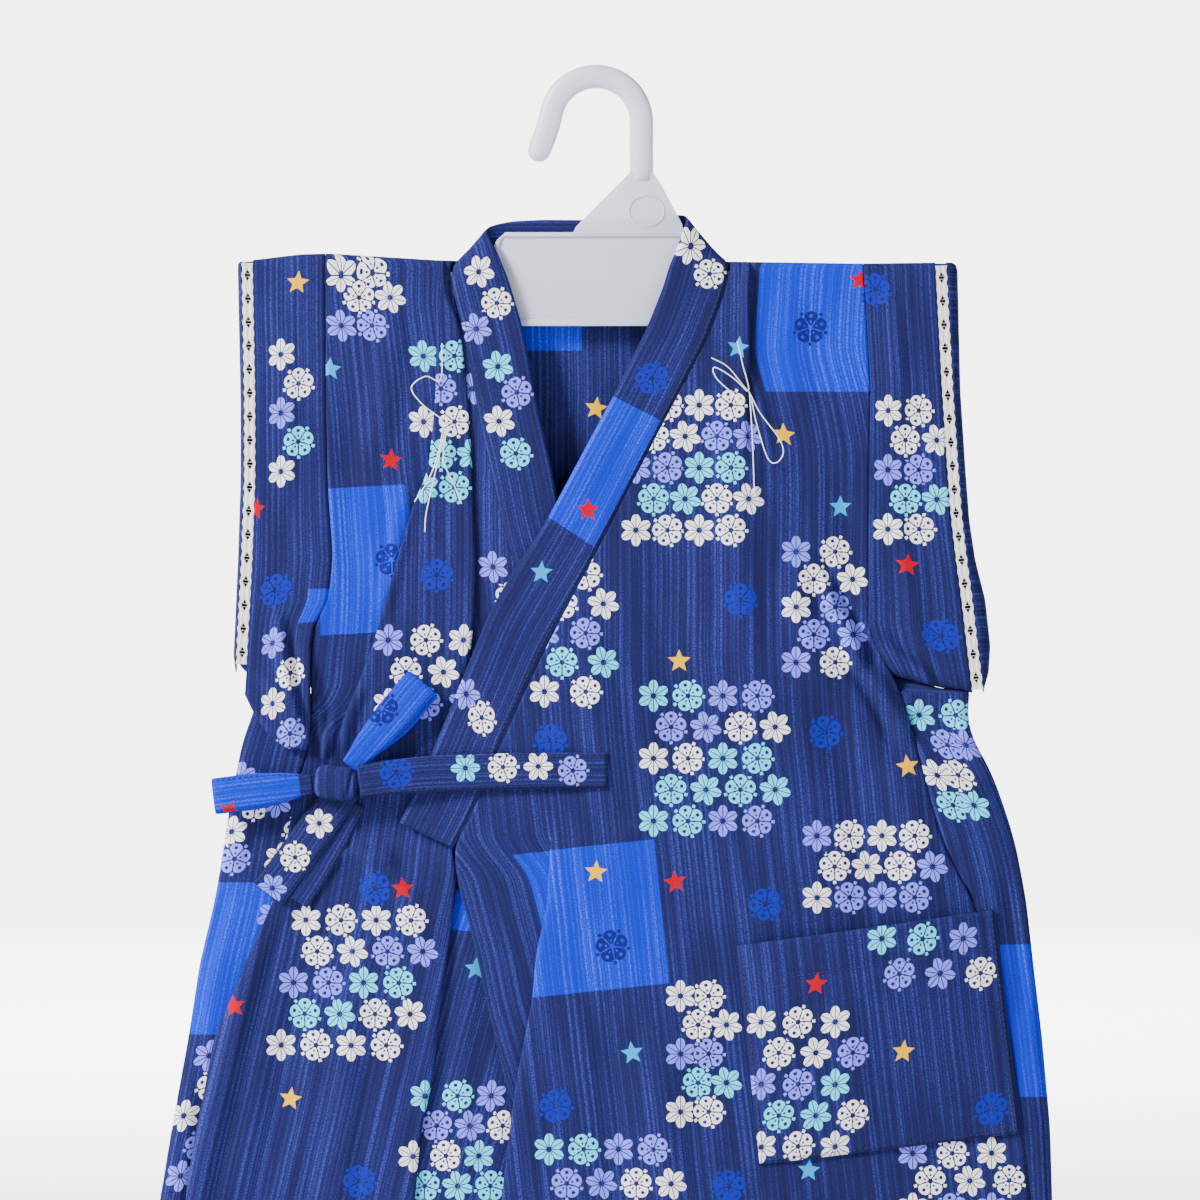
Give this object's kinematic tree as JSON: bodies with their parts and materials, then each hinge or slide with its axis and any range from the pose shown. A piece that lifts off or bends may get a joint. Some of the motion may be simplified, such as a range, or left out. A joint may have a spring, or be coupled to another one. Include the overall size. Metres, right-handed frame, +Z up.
{
  "type": "child's jinbei jacket on a hanger",
  "caption": "Wrap-front child's jinbei jacket in printed slub cotton, tied at the wearer's right hip, hung on a moulded hanger with an open hook.",
  "frame": {"origin": "inner top of the hanger's hook, where a rail carries it", "axes": "+Z up along the hanging garment, -Y out of the front, +X towards the wearer's left; left and right in names are the wearer's"},
  "size_m": [0.4555, 0.0313, 0.6174],
  "materials": {
    "cotton": "navy slub-striped cotton, printed",
    "cotton_band": "the same cotton folded in four and pressed",
    "tie": "the same cotton folded and edge-stitched",
    "lace": "white cotton ladder lace",
    "hanger": "milky translucent polypropylene"
  },
  "bodies": {
    "root": {"back": "cotton", "side_left": "cotton", "side_right": "cotton", "front_over": "cotton", "front_under": "cotton", "collar": "cotton_band", "pocket": "cotton", "sleeve_strip_left": "cotton", "sleeve_strip_right": "cotton", "lace_front_left": "lace", "lace_back_left": "lace", "lace_front_right": "lace", "lace_back_right": "lace", "sleeve_left": "cotton", "sleeve_right": "cotton", "tie_knot": "tie", "tie_loop_side": "tie", "tie_loop_upper": "tie", "tie_tail_level": "tie", "tie_tail_lower": "tie", "hanger": "hanger"}
  },
  "joints": []
}
